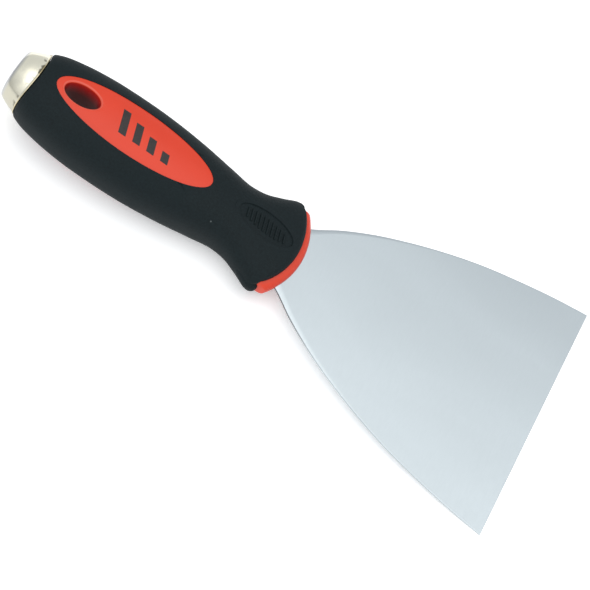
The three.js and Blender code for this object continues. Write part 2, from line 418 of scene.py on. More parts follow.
def specks_group():
    """Sparse tiny specks of dust."""
    group, inlet, outlet = new_group(
        "dust_specks",
        [("Vector", "NodeSocketVector", (0, 0, 0)), ("Scale", "NodeSocketFloat", 260.0),
         ("Size", "NodeSocketFloat", 0.1), ("Share", "NodeSocketFloat", 0.12)],
        [("Mask", "NodeSocketFloat")],
    )
    cells = add_node(group, "ShaderNodeTexVoronoi", {
        "Vector": inlet.outputs["Vector"], "Scale": inlet.outputs["Scale"],
    })
    pick = add_node(group, "ShaderNodeSeparateColor", {"Color": cells.outputs["Color"]})
    chosen = math_node(group, "LESS_THAN", pick.outputs[0], inlet.outputs["Share"])
    near = math_node(group, "SUBTRACT", inlet.outputs["Size"], cells.outputs["Distance"])
    dot = remap(group, near, 0.0, 0.04)
    group.links.new(math_node(group, "MULTIPLY", chosen, dot), outlet.inputs["Mask"])
    return group


def wear_group():
    """Convex edges, where a finish rubs bright."""
    group, inlet, outlet = new_group(
        "edge_wear",
        [("Vector", "NodeSocketVector", (0, 0, 0)), ("Start", "NodeSocketFloat", 0.52),
         ("End", "NodeSocketFloat", 0.62)],
        [("Mask", "NodeSocketFloat")],
    )
    shape = add_node(group, "ShaderNodeNewGeometry")
    edge = add_node(group, "ShaderNodeMapRange", {
        "Value": shape.outputs["Pointiness"], "From Min": inlet.outputs["Start"],
        "From Max": inlet.outputs["End"],
    })
    patches = add_node(group, "ShaderNodeTexNoise", {
        "Vector": inlet.outputs["Vector"], "Scale": 120.0, "Detail": 5.0,
    })
    broken = remap(group, patches.outputs["Fac"], 0.4, 0.6)
    group.links.new(math_node(group, "MULTIPLY", edge.outputs["Result"], broken), outlet.inputs["Mask"])
    return group


def smudge_group():
    """Large soft patches, as hands and cloths leave on a surface."""
    group, inlet, outlet = new_group(
        "handling_smudges",
        [("Vector", "NodeSocketVector", (0, 0, 0)), ("Scale", "NodeSocketFloat", 30.0)],
        [("Mask", "NodeSocketFloat")],
    )
    noise = add_node(group, "ShaderNodeTexNoise", {
        "Vector": inlet.outputs["Vector"], "Scale": inlet.outputs["Scale"], "Detail": 3.0,
        "Distortion": 0.6,
    })
    group.links.new(remap(group, noise.outputs["Fac"], 0.3, 0.7), outlet.inputs["Mask"])
    return group


EFFECTS = {
    "grain": grain_group, "specks": specks_group, "wear": wear_group, "smudges": smudge_group,
}


def effect(tree, name, links):
    """A shared effect placed in a material with its own values."""
    label = EFFECTS[name].__name__
    if label not in bpy.data.node_groups:
        EFFECTS[name]().name = label
    return add_node(tree, "ShaderNodeGroup", links, node_tree=bpy.data.node_groups[label])


def start_material(name, **sockets):
    """A material with its shader; plain values are set on the shader's own sockets."""
    material = bpy.data.materials.new(name)
    material.use_nodes = True
    tree = material.node_tree
    shader = tree.nodes["Principled BSDF"]
    for key, value in sockets.items():
        shader.inputs[key.replace("_", " ")].default_value = value
    return material, tree, shader


def connect_bump(tree, shader, height, strength, distance):
    bump = add_node(tree, "ShaderNodeBump", {
        "Height": height, "Strength": strength, "Distance": distance,
    })
    tree.links.new(bump.outputs["Normal"], shader.inputs["Normal"])


# ---------------------------------------------------------------- finishes
def blade_steel(colour):
    material, tree, shader = start_material("blade_steel", Metallic=1.0)
    plain = object_coordinates(tree)
    brushed = object_coordinates(tree, (6, 1, 1))
    streaked = object_coordinates(tree, (0.35, 1, 1))
    grind = effect(tree, "grain", {"Vector": brushed, "Scale": 260.0, "Detail": 6.0})
    cloth = effect(tree, "smudges", {"Vector": streaked, "Scale": 34.0})
    wear = effect(tree, "wear", {"Vector": plain, "Start": 0.53, "End": 0.7})
    tone = mix_colour(tree, cloth.outputs["Mask"], scaled(colour, 0.95), colour)
    tone = tint(tree, tone, grind, 0.12, scaled(colour, 0.86))
    tone = tint(tree, tone, wear, 0.35, (0.9, 0.92, 0.94))
    # Painted shade: the upright sides of the steel darken towards near black, most at the neck.
    tone = mix_colour(tree, stored_value(tree, BLADE_SHADE_ATTRIBUTE), tone, (0.1, 0.105, 0.11))
    tree.links.new(tone, shader.inputs["Base Color"])
    rough = remap(tree, cloth.outputs["Mask"], 0, 1, 0.33, 0.345)
    rough = math_node(tree, "ADD", rough, math_node(tree, "MULTIPLY", grind.outputs["Mask"], 0.04))
    tree.links.new(rough, shader.inputs["Roughness"])
    connect_bump(tree, shader, grind.outputs["Height"], 0.12, 0.00004)
    return material


def red_plastic(colour):
    material, tree, shader = start_material("red_plastic", Specular_IOR_Level=0.4)
    plain = object_coordinates(tree)
    peel = effect(tree, "grain", {"Vector": plain, "Scale": 420.0, "Detail": 2.0})
    hands = effect(tree, "smudges", {"Vector": plain, "Scale": 45.0})
    dust = effect(tree, "specks", {"Vector": plain, "Scale": 330.0, "Size": 0.09, "Share": 0.02})
    tone = mix_colour(tree, hands.outputs["Mask"], scaled(colour, 0.94), colour)
    tone = tint(tree, tone, dust, 0.25, (0.9, 0.6, 0.5))
    # Painted light in the hang hole: a paler line on its chamfer is a painted highlight, and the red
    # darkening to near black with depth is painted shade.
    depth = stored_value(tree, HOLE_LIGHT_AND_SHADE_ATTRIBUTE)
    tone = mix_colour(tree, remap(tree, depth, -0.4, -1.0, 0.0, 0.2), tone, (0.85, 0.32, 0.25))
    shaded_in_hole = mix_colour(tree, remap(tree, depth, 0.0, 1.2), tone, (0.5, 0.012, 0.01))
    tone = mix_colour(tree, remap(tree, depth, 1.5, 7.0), shaded_in_hole, (0.12, 0.03, 0.028))
    tree.links.new(tone, shader.inputs["Base Color"])
    tree.links.new(remap(tree, hands.outputs["Mask"], 0, 1, 0.34, 0.44), shader.inputs["Roughness"])
    connect_bump(tree, shader, peel.outputs["Height"], 0.15, 0.00005)
    return material


def black_grip(colour):
    material, tree, shader = start_material("black_grip", Specular_IOR_Level=0.16)
    plain = object_coordinates(tree)
    texture = effect(tree, "grain", {"Vector": plain, "Scale": 1500.0, "Detail": 3.0})
    hands = effect(tree, "smudges", {"Vector": plain, "Scale": 38.0})
    dust = effect(tree, "specks", {"Vector": plain, "Scale": 240.0, "Size": 0.1, "Share": 0.05})
    tone = mix_colour(tree, texture.outputs["Mask"], scaled(colour, 0.8), scaled(colour, 1.3))
    tone = tint(tree, tone, hands, 0.4, scaled(colour, 1.5))
    tone = tint(tree, tone, dust, 0.5, (0.16, 0.18, 0.18))
    tree.links.new(tone, shader.inputs["Base Color"])
    tree.links.new(remap(tree, hands.outputs["Mask"], 0, 1, 0.6, 0.72), shader.inputs["Roughness"])
    connect_bump(tree, shader, texture.outputs["Height"], 0.5, 0.00012)
    return material


def cap_plating(colour):
    material, tree, shader = start_material("cap_plating", Metallic=1.0)
    plain = object_coordinates(tree)
    turned = object_coordinates(tree, (1, 4, 4))
    polish = effect(tree, "grain", {"Vector": turned, "Scale": 300.0, "Detail": 4.0})
    dents = effect(tree, "smudges", {"Vector": plain, "Scale": 130.0})
    hands = effect(tree, "smudges", {"Vector": plain, "Scale": 60.0})
    wear = effect(tree, "wear", {"Vector": plain, "Start": 0.515, "End": 0.56})
    spots = effect(tree, "grain", {"Vector": plain, "Scale": 360.0, "Detail": 1.0})
    along = stored_value(tree, CAP_ATTRIBUTE)
    tone = mix_colour(tree, hands.outputs["Mask"], scaled(colour, 0.93), colour)
    tone = tint(tree, tone, wear, 0.5, (0.62, 0.63, 0.66))
    # Painted shade: the plating darkens where its surface faces sideways.
    lean = stored_value(tree, CAP_LEAN_SHADE_ATTRIBUTE)
    tone = mix_colour(tree, remap(tree, lean, 0.1, 0.45), tone, scaled(colour, 0.55))
    # Painted shade: grey towards the strike face, over its rounded end.
    strike_end_shade = remap(tree, along, 0.2, 0.06, 0.0, 0.8)
    tone = mix_colour(tree, strike_end_shade, tone, (0.44, 0.45, 0.48))
    # Painted reflections: dark spots on the plating near the rim.
    near_rim = remap(tree, along, 0.72, 0.94)
    spotted = remap(tree, spots.outputs["Height"], 0.56, 0.62)
    painted_dark_reflections = math_node(tree, "MULTIPLY", spotted, near_rim)
    tone = mix_colour(tree, painted_dark_reflections, tone, (0.09, 0.075, 0.04))
    tone = mix_colour(tree, remap(tree, along, 0.935, 0.955, 0.0, 0.7), tone, (0.62, 0.52, 0.30))
    tree.links.new(tone, shader.inputs["Base Color"])
    rough = remap(tree, hands.outputs["Mask"], 0, 1, 0.16, 0.24)
    rough = math_node(tree, "ADD", rough, math_node(tree, "MULTIPLY", polish.outputs["Mask"], 0.04))
    tree.links.new(rough, shader.inputs["Roughness"])
    connect_bump(tree, shader, dents.outputs["Mask"], 0.25, 0.0001)
    return material


def rivet_steel():
    material, tree, shader = start_material("rivet_steel", Metallic=1.0)
    plain = object_coordinates(tree)
    drawn = effect(tree, "grain", {"Vector": plain, "Scale": 700.0, "Detail": 4.0})
    oil = effect(tree, "smudges", {"Vector": plain, "Scale": 200.0})
    tone = mix_colour(tree, oil.outputs["Mask"], (0.32, 0.32, 0.33), (0.48, 0.48, 0.49))
    tree.links.new(tone, shader.inputs["Base Color"])
    tree.links.new(remap(tree, drawn.outputs["Mask"], 0, 1, 0.35, 0.5), shader.inputs["Roughness"])
    connect_bump(tree, shader, drawn.outputs["Height"], 0.3, 0.00005)
    return material


def printed_ink():
    material, tree, shader = start_material("printed_ink", Specular_IOR_Level=0.4)
    plain = object_coordinates(tree)
    cover = effect(tree, "grain", {"Vector": plain, "Scale": 900.0, "Detail": 4.0})
    tone = mix_colour(tree, cover.outputs["Mask"], (0.016, 0.014, 0.014), (0.03, 0.024, 0.022))
    tree.links.new(tone, shader.inputs["Base Color"])
    tree.links.new(remap(tree, cover.outputs["Mask"], 0, 1, 0.45, 0.6), shader.inputs["Roughness"])
    connect_bump(tree, shader, cover.outputs["Height"], 0.2, 0.00003)
    return material


# ---------------------------------------------------------------- blade
def flare_knots():
    """Side of the steel from the tang's shoulder to the corner of the edge: x, half width."""
    sizes = bpy.context.scene.knife_sizes
    neck, corner = sizes.neck_width / 2 / MM, sizes.edge_width / 2 / MM
    return np.array([
        [103, 10.5], [105, 10.5], [108.8, 10.75], [112.4, 11.45], [118.4, neck], [128, 20.8],
        [139, 27.1], [152, 33.1], [166.4, 38.6], [180, 42.8], [194, 46.0], [209, 48.8],
        [TOOL_LENGTH, corner],
    ])


def flat_plate(name, loops, half_height):
    """A plate of even thickness with holes, as a mesh in millimetres."""
    curve = bpy.data.curves.new(name, "CURVE")
    curve.dimensions = "2D"
    curve.fill_mode = "BOTH"
    curve.extrude = half_height
    for loop in loops:
        spline = curve.splines.new("POLY")
        spline.points.add(len(loop) - 1)
        for point, (x, y) in zip(spline.points, loop):
            point.co = (x, y, 0, 1)
        spline.use_cyclic_u = True
    carrier = bpy.data.objects.new(name, curve)
    bpy.context.scene.collection.objects.link(carrier)
    evaluated = carrier.evaluated_get(bpy.context.evaluated_depsgraph_get())
    plate = bpy.data.meshes.new_from_object(evaluated)
    bpy.data.objects.remove(carrier)
    bpy.data.curves.remove(curve)
    return plate


class PUTTY_OT_blade(bpy.types.Operator):
    """Builds the ground blade with its tang"""

    bl_idname = "putty.blade"
    bl_label = "Blade and tang"
    grind_start = 127.0
    seam_x = 105.0
    tang, tail = 10.5, 7.0  # half widths
    bevel_start = 118
    bevel_slope = 0.09
    bevel_steps = (0, 0.12, 0.5, 1.0, 1.25)  # offsets from the side inwards, in widths of the bevel
    side_ease = 0.05
    edge_ease = (0.12, 0.06)  # length and depth of the broken working edge

    def half_thickness(self, x):
        sizes = bpy.context.scene.knife_sizes
        stock, edge = sizes.stock_thickness / 2 / MM, sizes.edge_thickness / 2 / MM
        into = np.clip((x - self.grind_start) / (TOOL_LENGTH - self.grind_start), 0, 1)
        return stock + (edge - stock) * into

    def bevel_width(self, x):
        """The ground side bevel is widest at the neck and runs out towards the corner."""
        share = np.clip((x - self.bevel_start) / (TOOL_LENGTH - self.bevel_start), 0, 1)
        return (0.3 + 2.0 * (1 - share) ** 4) * smooth_step(x, 106, 112)

    def top_row(self, x):
        """Points of the upper face across the tool, from its left side to its right."""
        side = float(profile_at(np.array([x]), flare_knots(), 1)[0])
        width = max(float(self.bevel_width(x)), 0.02)
        half = float(self.half_thickness(x))
        drop = min(self.bevel_slope * width, half * 0.55)
        row = []
        for step in self.bevel_steps:
            fall = drop * max(1 - step, 0) + (self.side_ease if step == 0 else 0)
            row.append((side - step * width, half - fall))
        inner = side - self.bevel_steps[-1] * width
        row += [(inner * share, half) for share in np.linspace(0.9, 0, 10)]
        left = [(x, y, z) for y, z in row]
        return left + [(x, -y, z) for y, z in reversed(row[:-1])]

    def execute(self, context):
        colours = context.scene.knife_colours
        ease, ease_depth = self.edge_ease
        stations = np.concatenate([
            np.linspace(self.seam_x, 118, 14), np.linspace(118.8, self.grind_start, 8)[:-1],
            np.linspace(self.grind_start, TOOL_LENGTH - ease, 100), [TOOL_LENGTH],
        ])
        skin = Skin()
        rows = [np.array(self.top_row(x)) for x in stations]
        rows[0][:, 2] = self.half_thickness(self.seam_x)
        rows[-1][:, 2] -= ease_depth
        skin.strip(rows, closed=False)
        skin.strip(mirrored(rows), closed=False)
        for end in (0, -1):
            side = np.array([row[end] for row in rows])
            skin.strip([side, side * [1, 1, -1]], closed=False)
        skin.strip([rows[-1], mirrored([rows[-1]])[0]], closed=False)
        self.add_tang(skin, rows[0])
        steel = blade_steel(colours.steel)
        blade = skin.finish("blade", steel, "blade_and_tang", sharp=25)
        self.paint_blade_side_shade(blade.data)
        return {"FINISHED"}

    def paint_blade_side_shade(self, data):
        """Marks the steel's upright sides for painted shade, which is darkest at the neck."""
        mark = data.attributes.new(BLADE_SHADE_ATTRIBUTE, "FLOAT", "FACE")
        to_tool = PLACE.inverted()
        for face in data.polygons:
            upright = abs((to_tool.to_3x3() @ face.normal).z) < 0.3
            x = (to_tool @ face.center).x / MM
            if upright:
                mark.data[face.index].value = 0.9 - 0.75 * float(smooth_step(x, 120, 150))

    def add_tang(self, skin, seam):
        """The flat tang behind the blade, with its openings; it shares the seam's points."""
        corner = [(5.3, self.tail), (15.4, self.tail), (15.4, self.tang)]
        outline = corner + [(x, y) for x, y, _ in seam] + [(x, -y) for x, y in reversed(corner)]
        turn = np.linspace(0, 2 * math.pi, 49)[:-1]
        holes = [list(zip(*ellipse_points(HANG_HOLE, turn, 2.1)))]
        holes += [list(zip(*ellipse_points((centre, 3.5, 3.5), turn))) for centre in (50, 70, 90)]
        holes += [list(zip(*ellipse_points((12.5, 1.6, 1.6), turn)))]
        plate = flat_plate("tang", [outline, *holes], float(self.half_thickness(self.seam_x)))
        before = len(skin.mesh.verts)
        skin.mesh.from_mesh(plate)
        bpy.data.meshes.remove(plate)
        skin.mesh.verts.ensure_lookup_table()
        added = set(skin.mesh.verts[before:])
        wall = [
            face for face in skin.mesh.faces
            if all(v in added and abs(v.co.x - self.seam_x) < 1e-3 for v in face.verts)
        ]
        bmesh.ops.delete(skin.mesh, geom=wall, context="FACES_ONLY")


# ---------------------------------------------------------------- hard core
def collar_outline(share, count=36):
    """Plan of the collar at one level; share runs from 0 at its faces to 1 at its middle."""
    reach, _ = COLLAR_NOSE
    corner, end_rounding = 0.7, 0.8
    radius = COLLAR_RADIUS - reach * (1 - share)
    end = COLLAR_HALF_WIDTH - end_rounding * (1 - share)
    centre_x = FRONT_ARC_X + math.sqrt((radius - corner) ** 2 - (end - corner) ** 2)
    swing = math.atan2(end - corner, centre_x - FRONT_ARC_X)
    half = [
        (FRONT_ARC_X + radius * math.cos(angle), radius * math.sin(angle))
        for angle in np.linspace(0, swing, count)
    ]
    half += [
        (centre_x + corner * math.cos(angle), end - corner + corner * math.sin(angle))
        for angle in np.linspace(swing, math.pi / 2, 8)[1:]
    ]
    half += [(109.0, end), (103.0, 10.0)]
    return half + [(x, -y) for x, y in reversed(half[1:])]


def collar_rows():
    """Outlines of the collar from its upper face round its rounded front to its lower face."""
    _, thickness = COLLAR_NOSE
    straight = COLLAR_HALF_HEIGHT - thickness
    rows = []
    for angle in np.linspace(0, math.pi / 2, 12):
        outline = np.array(collar_outline(math.sin(angle)))
        rows.append(np.c_[outline, np.full(len(outline), straight + thickness * math.cos(angle))])
    return rows + mirrored(reversed(rows))


def pad_rows(recess, turns=144, steps=40):
    """Upper half of the oval pad: outer wall, crowned face, chamfer and lining of the hang hole."""
    angles = np.linspace(0, 2 * math.pi, turns, endpoint=False)
    outer = np.stack(ellipse_points(WINDOW, angles, 0.5), -1)
    aim = np.arctan2(outer[:, 1] / HANG_HOLE[2], (outer[:, 0] - HANG_HOLE[0]) / HANG_HOLE[1])
    order = np.unwrap(aim)

    def row_of(points, drop):
        return np.c_[points, height_at(points[:, 0], points[:, 1], -recess) - drop]

    rim = np.stack(ellipse_points(HANG_HOLE, order, 0.7), -1)
    rows = [np.c_[outer, np.zeros(turns)]]
    rows += [row_of(outer + (rim - outer) * share, 0) for share in np.linspace(0, 1, steps)]
    for grow, drop in ((0.62, 0.03), (0.12, 0.42), (0.03, 0.56), (0.0, 0.75)):
        rows.append(row_of(np.stack(ellipse_points(HANG_HOLE, order, grow), -1), drop))
    wall = np.stack(ellipse_points(HANG_HOLE, order, 0.0), -1)
    for share in (0.75, 0.5, 0.25, 0.0):
        rows.append(np.c_[wall, height_at(wall[:, 0], wall[:, 1], -recess) * share])
    return rows


def shade_hole(data):
    """Stores how deep each point lies inside the hang hole, for painted shade; its chamfer gets -1, for a
    painted highlight.
    """
    centre, long_half, short_half = HANG_HOLE
    depth = data.attributes.new(HOLE_LIGHT_AND_SHADE_ATTRIBUTE, "FLOAT", "POINT")
    to_tool = PLACE.inverted()
    for vertex in data.vertices:
        x, y, z = (to_tool @ vertex.co) / MM
        surface = float(height_at(np.array([x]), np.array([y]))[0])
        wall, inner, outer = (
            math.hypot((x - centre) / (long_half + grow), y / (short_half + grow))
            for grow in (0.08, 0.1, 0.66)
        )
        if wall < 1:
            depth.data[vertex.index].value = max(surface - abs(z) - 0.6, 0)
        elif inner > 1 > outer and surface - abs(z) < 1:
            depth.data[vertex.index].value = -1


class PUTTY_OT_core(bpy.types.Operator):
    """Builds the hard core: window pads, hang-hole lining, casing and collar"""

    bl_idname = "putty.core"
    bl_label = "Hard core"

    def execute(self, context):
        sizes, colours = context.scene.knife_sizes, context.scene.knife_colours
        skin = Skin()
        upper = pad_rows(sizes.window_recess / MM)
        skin.strip(upper)
        skin.strip(mirrored(upper))
        collar = collar_rows()
        skin.strip(collar)
        skin.cap(collar[0])
        skin.cap(collar[-1])
        turn = np.linspace(0, 2 * math.pi, 48, endpoint=False)
        casing = [
            skin_point(np.full(48, along), turn, -SKIN - 0.2, CASING_FRONT_RADIUS, outside=False)
            for along in np.linspace(0.3, 1, 30)
        ]
        skin.strip(casing)
        skin.cap(casing[0])
        skin.cap(casing[-1])
        red = red_plastic(colours.red)
        core = skin.finish("hard_core", red, "handle_core", sharp=50)
        shade_hole(core.data)
        return {"FINISHED"}


# ---------------------------------------------------------------- soft grip
class GripSheet:
    """Grid of points between the oval window and the border of the grip's upper half."""

    sides, front, rear = 110, 90, 40

    def __init__(self, grow, radius, window_grow, outside, steps):
        border = self.border(grow, radius)
        plan = skin_point(border[:, 0], border[:, 1], grow, radius, outside=False)
        aim = np.unwrap(np.arctan2(plan[:, 1] / WINDOW[2], (plan[:, 0] - WINDOW[0]) / WINDOW[1]))
        window = ellipse_points(WINDOW, aim, window_grow)
        self.aim = aim
        hole = np.stack(skin_coordinates(*window, grow, radius), -1)
        self.rows = []
        for share in steps:
            mixed = hole + (border - hole) * share
            self.rows.append(skin_point(mixed[:, 0], mixed[:, 1], grow, radius, outside))

    def border(self, grow, radius):
        """Side, front, other side and rear of the upper half, as (along, angle) pairs."""
        even = np.linspace(0, 1, self.sides, endpoint=False)
        side = 1 - (1 - even) ** 1.25
        front = np.linspace(0, math.pi, self.front, endpoint=False)
        rear = np.linspace(math.pi, 0, self.rear, endpoint=False)
        return np.concatenate([
            np.c_[side, np.zeros_like(side)],
            np.c_[np.ones_like(front), front],
            np.c_[1 - even**1.25, np.full(self.sides, math.pi)],
            np.c_[np.zeros_like(rear), rear],
        ])

    def front_part(self, row):
        return row[self.sides:self.sides + self.front + 1]

    def rear_part(self, row):
        return np.concatenate([row[2 * self.sides + self.front:], row[:1]])


def steps_towards_edges(count=64):
    """Shares from 0 to 1, closer together at both ends."""
    even = np.linspace(0, 1, count)[1:-1]
    return np.concatenate([[0.0], 0.5 * even + 0.25 * (1 - np.cos(math.pi * even)), [0.994, 1.0]])


def window_lip(aim, depth_to):
    """Rows that round the grip's edge into the oval window and run down its wall."""
    rows = []
    for grow, drop in ((0.18, 0.03), (0.06, 0.12), (0.0, 0.3)):
        x, y = ellipse_points(WINDOW, aim, grow)
        rows.append(np.stack([x, y, height_at(x, y) - drop], -1))
    x, y = ellipse_points(WINDOW, aim)
    rows.append(np.stack([x, y, height_at(x, y, -depth_to)], -1))
    return rows


def lip_edge(front):
    """The row just below the grip's front edge, which rounds it."""
    edge = front.copy()
    edge[:, 0] += 0.12
    edge[:, 2] = np.where(edge[:, 2] > 2, edge[:, 2] - 0.35, edge[:, 2])
    return edge


class PUTTY_OT_grip(bpy.types.Operator):
    """Builds the soft grip with its oval windows, rounded front and embossed badge"""

    bl_idname = "putty.grip"
    bl_label = "Soft grip"

    def execute(self, context):
        colours = context.scene.knife_colours
        steps = steps_towards_edges()
        outer = GripSheet(0.0, GRIP_FRONT_RADIUS, 0.35, True, steps)
        inner = GripSheet(-SKIN, INNER_FRONT_RADIUS, 0.0, False, [*steps[:-1:4], 1.0])
        rubber = black_grip(colours.black)
        skin = Skin()
        lip = window_lip(outer.aim, SKIN)
        inner_lip = np.stack(ellipse_points(WINDOW, inner.aim), -1)
        inner_lip = np.c_[inner_lip, height_at(inner_lip[:, 0], inner_lip[:, 1], -SKIN)]
        for turn in (lambda rows: rows, mirrored):
            skin.strip(turn([*reversed(lip), *outer.rows]))
            skin.strip(turn([lip[-1], inner_lip, *inner.rows[1:]]))
            front = outer.front_part(outer.rows[-1])
            wall = front.copy()
            # The front wall is open for the collar, and closes towards the two corners.
            slot = 1.2 * (1 - smooth_step(np.abs(wall[:, 1]), 16.5, 17.7))
            wall[:, 2] = np.minimum(wall[:, 2], slot)
            behind = inner.front_part(inner.rows[-1])
            skin.strip(turn([front, lip_edge(front), wall, behind]), closed=False)
            rear = [outer.rear_part(outer.rows[-1]), inner.rear_part(inner.rows[-1])]
            skin.strip(turn(rear), closed=False)
        self.corner_bands(skin)
        skin.finish("soft_grip_cover", rubber, "soft_grip", sharp=60)
        self.badge(rubber, context.scene.knife_sizes.badge_ribs)
        return {"FINISHED"}

    def corner_bands(self, skin, start=99.0, depth=2.0):
        """The fuller bands of rubber that wrap the two front corners beside the collar."""
        corner_x, corner_y, radius = BAND_CORNER
        x = np.linspace(start, corner_x, 20)
        sunk = 0.4 - smooth_step(x, start, 107)
        y = np.minimum(profile_at(x, HANDLE_PROFILE, 1) - sunk, corner_y + radius)
        turn = np.linspace(math.pi / 2, 0, 14)[1:]
        x = np.concatenate([x, corner_x + radius * np.cos(turn), [corner_x + radius - 0.3]])
        y = np.concatenate([y, corner_y + radius * np.sin(turn), [corner_y - 2.5]])
        step_x, step_y = np.gradient(x), np.gradient(y)
        inward = np.stack([step_y, -step_x], -1) / np.hypot(step_x, step_y)[:, None]
        bow = np.linspace(-math.pi / 2, math.pi / 2, 15)
        for side in (1, -1):
            rings = [
                np.c_[
                    px + nx * depth * (1 - np.cos(bow)),
                    side * (py + ny * depth * (1 - np.cos(bow))),
                    BAND_HALF_HEIGHT * np.sin(bow),
                ]
                for px, py, (nx, ny) in zip(x, y, inward)
            ]
            skin.strip(rings)
            skin.cap(rings[0])
            skin.cap(rings[-1])

    def badge(self, rubber, ribs):
        """A sunk oval filled with plain slanted ribs, on both faces."""
        skin = Skin()
        turn = np.linspace(0, 2 * math.pi, 144, endpoint=False)
        sheet = []
        profile = (
            (1.9, -0.25), (1.75, -0.01), (1.6, 0.015), (0.35, 0.015), (0.2, -0.01), (0.08, -0.1),
            (0.0, -0.3), (-0.12, -BADGE_DEPTH + 0.02), (-0.35, -BADGE_DEPTH),
        )
        for grow, rise in profile:
            x, y = ellipse_points(BADGE, turn, grow)
            sheet.append(np.stack([x, y, height_at(x, y) + rise], -1))
        inner = sheet[-1]
        middle = np.array([BADGE[0], 0, 0])
        for share in (0.8, 0.6, 0.4, 0.2, 0.02):
            plan = middle + (inner - middle) * share
            sheet.append(np.c_[plan[:, :2], height_at(plan[:, 0], plan[:, 1]) - BADGE_DEPTH])
        below = sheet[-1] - np.array([0, 0, 0.6])
        foot = sheet[0] - np.array([0, 0, 0.8])
        for turned in (lambda rows: rows, mirrored):
            skin.strip(turned([*reversed(sheet), foot, below]))
            skin.cap(turned([sheet[-1]])[0])
            skin.cap(turned([below])[0])
            for i in range(ribs):
                skin.strip(turned(self.rib(i - (ribs - 1) / 2)), closed=False)
        skin.finish("grip_badge", rubber, sharp=60)

    def rib(self, place, pitch=1.75, slant=0.27, half_width=0.46, margin=1.2):
        """One rib of the badge, long in the middle of the oval and short at its ends."""
        centre, length, width = BADGE
        offset = place * pitch
        reach = 0.72 * width * math.sqrt(1 - (offset / (length - margin)) ** 2)
        reach *= 0.88 if int(place * 2) % 4 else 1.0
        along = np.linspace(-1, 1, 21)
        end = np.sqrt(np.clip(1 - np.abs(along) ** 8, 0, 1))
        rows = []
        for side, rise in ((-1, 0), (-0.85, 0.6), (-0.55, 1), (0.55, 1), (0.85, 0.6), (1, 0)):
            y = along * reach
            x = centre + offset - slant * y + side * half_width * end
            z = height_at(x, y) - BADGE_DEPTH - 0.05 + 0.58 * rise * end
            rows.append(np.stack([x, y, z], -1))
        return [*rows, rows[0]]


# ---------------------------------------------------------------- printed mark
class PUTTY_OT_print(bpy.types.Operator):
    """Prints a plain mark of slanted bars on the red oval"""

    bl_idname = "putty.print"
    bl_label = "Printed bars"
    bars = 4
    first, pitch, width = 41.5, 5.8, 3.0
    low, high, step_down = -4.6, 4.6, 1.8
    slant = 0.3

    def execute(self, context):
        recess = context.scene.knife_sizes.window_recess / MM
        skin = Skin()
        for place in range(self.bars):
            across = np.linspace(self.low, self.high - self.step_down * place, 17)
            rows = []
            for share in np.linspace(0, 1, 9):
                x = self.first + self.pitch * place + self.width * share - self.slant * across
                rows.append(np.stack([x, across, height_at(x, across, -recess) + 0.03], -1))
            foot = [row - np.array([0, 0, 0.1]) for row in rows]
            skin.strip(rows, closed=False)
            skin.strip(foot, closed=False)
            skin.strip([rows[0], foot[0]], closed=False)
            skin.strip([rows[-1], foot[-1]], closed=False)
            for end in (0, -1):
                ends = [np.array([row[end] for row in sheet]) for sheet in (rows, foot)]
                skin.strip(ends, closed=False)
        skin.finish("printed_bars", printed_ink(), sharp=50)
        return {"FINISHED"}


# ---------------------------------------------------------------- hammer cap
def shade_cap(data):
    """Stores how far along the cap each point lies (rim = 1) and how steeply it faces sideways, which sets
    its painted shade.
    """
    place = data.attributes.new(CAP_ATTRIBUTE, "FLOAT", "POINT")
    lean = data.attributes.new(CAP_LEAN_SHADE_ATTRIBUTE, "FLOAT", "POINT")
    to_tool = PLACE.inverted()
    for vertex in data.vertices:
        x, y, z = (to_tool @ vertex.co) / MM
        rim = RIM_X + RIM_CROWN * (1 - (y / RIM_HALF_SPAN) ** 2)
        place.data[vertex.index].value = (x - STRIKE_FACE_X) / (rim - STRIKE_FACE_X)
        lean.data[vertex.index].value = 1 - abs(vertex.normal.z)


class PUTTY_OT_cap(bpy.types.Operator):
    """Builds the plated hammer cap on the butt"""

    bl_idname = "putty.cap"
    bl_label = "Hammer cap"
    turns = 128

    def ring(self, x, half_width, half_height, towards_rim=0.0, dents=0.0):
        angle = np.linspace(0, 2 * math.pi, self.turns, endpoint=False)
        wave = dents * (np.sin(5 * angle + 0.6) + 0.7 * np.sin(11 * angle + 2.1))
        y = (half_width + wave) * bend(np.cos(angle))
        z = (half_height + wave) * bend(np.sin(angle))
        crown = RIM_CROWN * (1 - (y / RIM_HALF_SPAN) ** 2)
        return np.stack([x + towards_rim * crown, y, z], -1)

    def execute(self, context):
        skin = Skin()
        face_x, face_width, face_height = CAP_PROFILE[0]
        rows = [self.ring(face_x, face_width * k, face_height * k) for k in (0.02, 0.3, 0.6, 0.85, 1)]
        stations = [1.05, 1.15, 1.3, 1.5, 1.8, *np.linspace(2.2, RIM_X - 0.62, 24)]
        for x in stations:
            share = smooth_step(x, 2.0, RIM_X)
            width, height = profile_at(x, CAP_PROFILE, 1), profile_at(x, CAP_PROFILE, 2)
            rows.append(self.ring(x, width, height, share, 0.03 * smooth_step(x, 5, RIM_X)))
        width, height = profile_at(RIM_X, CAP_PROFILE, 1), profile_at(RIM_X, CAP_PROFILE, 2)
        lip = ((0.5, 0.02), (0.4, 0.1), (0.26, 0.17), (0.13, 0.16), (0.04, 0.09), (0, -0.03), (0, -1.6))
        for back, outset in lip:
            rows.append(self.ring(RIM_X - back, width + outset, height + outset, 1.0, 0.03))
        rows.append(self.ring(RIM_X - 1, 0.2, 0.2, 1.0))
        skin.strip(rows)
        skin.cap(rows[0])
        skin.cap(rows[-1])
        plating = cap_plating(context.scene.knife_colours.plating)
        cap = skin.finish("hammer_cap_plated", plating, "hammer_cap", sharp=50)
        shade_cap(cap.data)
        return {"FINISHED"}


